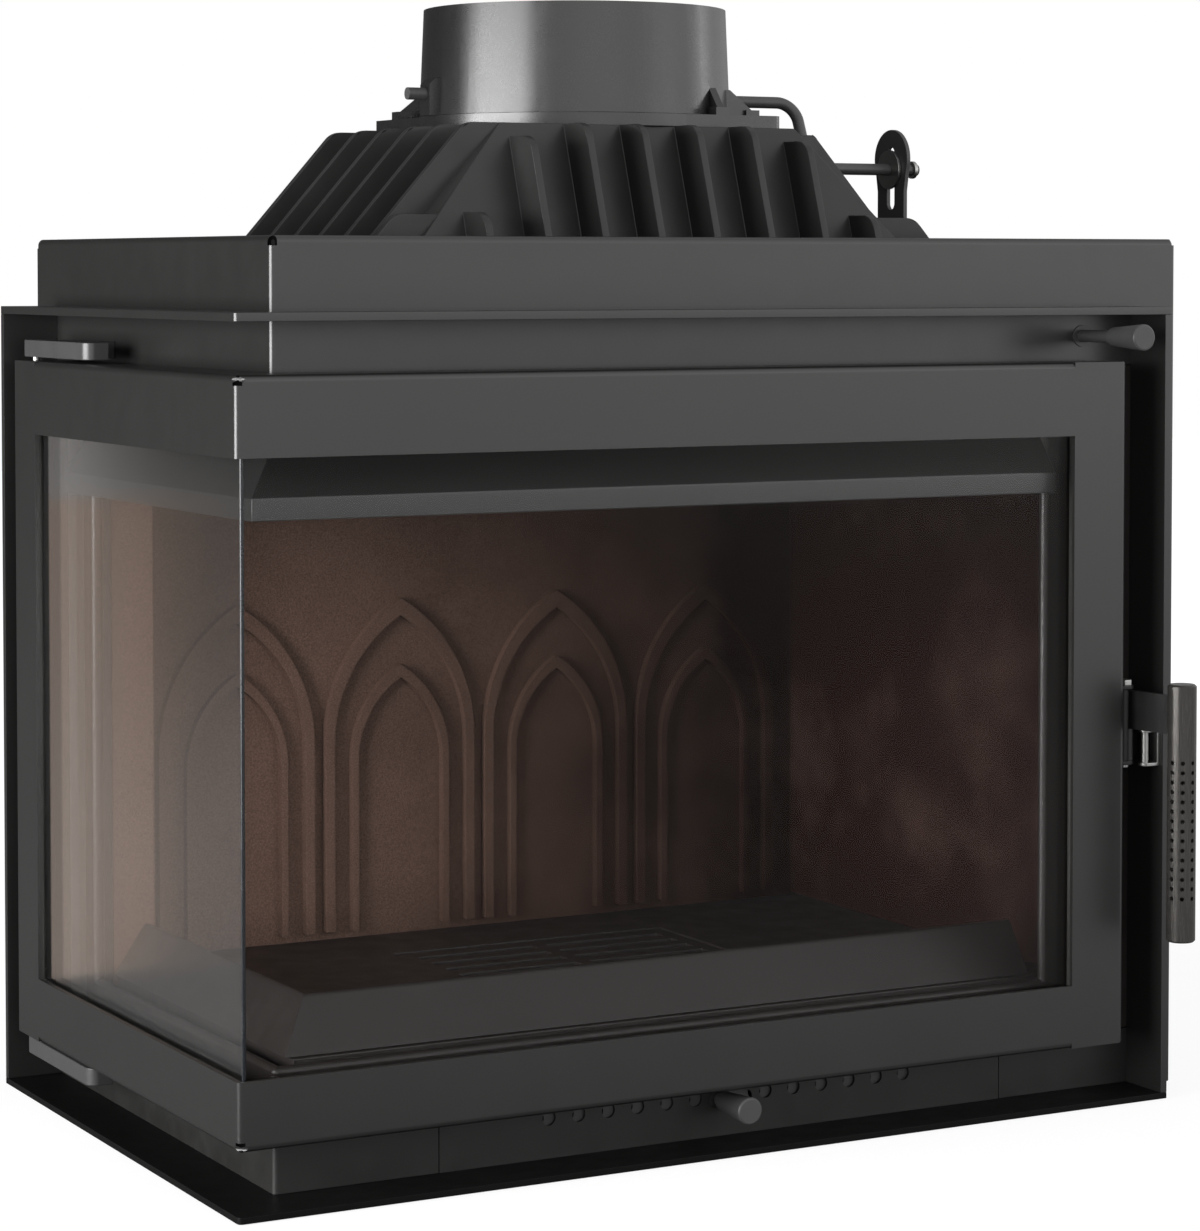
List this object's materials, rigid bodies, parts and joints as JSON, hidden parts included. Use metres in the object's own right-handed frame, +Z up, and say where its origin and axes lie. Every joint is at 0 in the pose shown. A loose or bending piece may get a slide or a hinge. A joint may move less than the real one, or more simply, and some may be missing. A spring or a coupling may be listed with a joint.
{
  "type": "fireplace insert",
  "caption": "Corner fireplace insert with an L-shaped glazed door, ribbed smoke hood, round flue collar with damper, and pull controls.",
  "frame": {"origin": "on the floor plane under the bottom plate, straight below the axis of the flue collar", "axes": "+Z up along the flue axis, +X to the right along the long glazed front, +Y to the back"},
  "size_m": [0.6835, 0.4842, 0.711],
  "materials": {
    "black_plate": "satin anthracite stove paint",
    "black_cast": "satin anthracite stove paint on cast iron",
    "grey_cast": "smooth satin grey",
    "inner_sheet": "matt black",
    "lining": "matt dark brown-black fire clay",
    "glass": "clear fire glass",
    "rope": "matt glass-fibre rope",
    "dark_steel": "semi-matt black",
    "bright_steel": "plain turned steel",
    "hinge_steel": "satin grey",
    "handle_steel": "brushed dark steel",
    "galvanised": "galvanised sheet"
  },
  "bodies": {
    "body": {"bottom_plate": "black_plate", "top_plate": "black_plate", "right_upright": "black_plate", "rear_left_upright": "black_plate", "upper_casing": "black_plate", "right_panel": "black_plate", "back_panel": "black_plate", "base_corner_panel": "black_plate", "base_front_panel": "black_plate", "base_right_panel": "black_plate", "air_box": "inner_sheet", "slider_guides": "inner_sheet", "front_frame": "black_cast", "chamber_floor": "black_cast", "chamber_back": "black_cast", "chamber_right": "black_cast", "chamber_left": "black_cast", "chamber_top": "black_cast", "hearth_plate": "black_cast", "ash_pan": "galvanised", "rear_lining": "lining", "right_lining": "lining", "left_lining": "lining", "baffle": "lining", "air_guide": "inner_sheet", "hood": "black_cast", "flue_collar": "grey_cast", "collar_bolts": "bright_steel", "rod_bush": "dark_steel", "rod_guide": "inner_sheet", "hinge_arms": "hinge_steel", "hinge_pins": "bright_steel", "latch_keeper": "bright_steel"},
    "door": {"door_frame": "black_plate", "glass_front": "glass", "glass_side": "glass", "glass_tape": "rope", "glass_retainers": "inner_sheet", "retainer_screws": "bright_steel", "gasket_channel": "inner_sheet", "door_gasket": "rope", "handle_ears": "inner_sheet", "handle_pin": "bright_steel"},
    "handle": {"handle_lever": "dark_steel", "handle_tube": "handle_steel"},
    "damper": {"damper_plate": "black_cast", "damper_shaft": "dark_steel", "crank_washers": "bright_steel"},
    "damper_control": {"link_plate": "dark_steel", "control_rod": "dark_steel", "link_nuts": "bright_steel", "control_knob": "dark_steel"},
    "air_control": {"air_slider": "inner_sheet", "air_knob": "dark_steel"},
    "grate": {"grate": "black_cast"},
    "log_fence": {"log_fence": "black_cast"}
  },
  "joints": [
    {"name": "door_swing", "type": "hinge", "parent": "body", "child": "door", "pos_m": [-0.332, 0.1215, 0.26], "axis": [0, 0, 1], "range_deg": [-100, 0]},
    {"name": "handle_turn", "type": "hinge", "parent": "door", "child": "handle", "pos_m": [0.282, -0.2295, 0.245], "axis": [0, 0, 1], "range_deg": [0, 30]},
    {"name": "control_slide", "type": "slide", "parent": "body", "child": "damper_control", "axis": [0, 1, 0], "range_m": [0, 0.033]},
    {"name": "damper_turn", "type": "hinge", "parent": "body", "child": "damper", "pos_m": [0, 0, 0.654], "axis": [1, 0, 0], "range_deg": [0, 39.5]},
    {"name": "air_slide", "type": "slide", "parent": "body", "child": "air_control", "axis": [1, 0, 0], "range_m": [-0.003, 0.017]},
    {"name": "grate_lift", "type": "slide", "parent": "body", "child": "grate", "axis": [0, 0, 1], "range_m": [0, 0.25]},
    {"name": "fence_lift", "type": "slide", "parent": "body", "child": "log_fence", "axis": [0, 0, 1], "range_m": [0, 0.2]}
  ],
  "couplings": [
    {"joint": "damper_turn", "follows": "control_slide", "rad_per_m": 20.84}
  ]
}
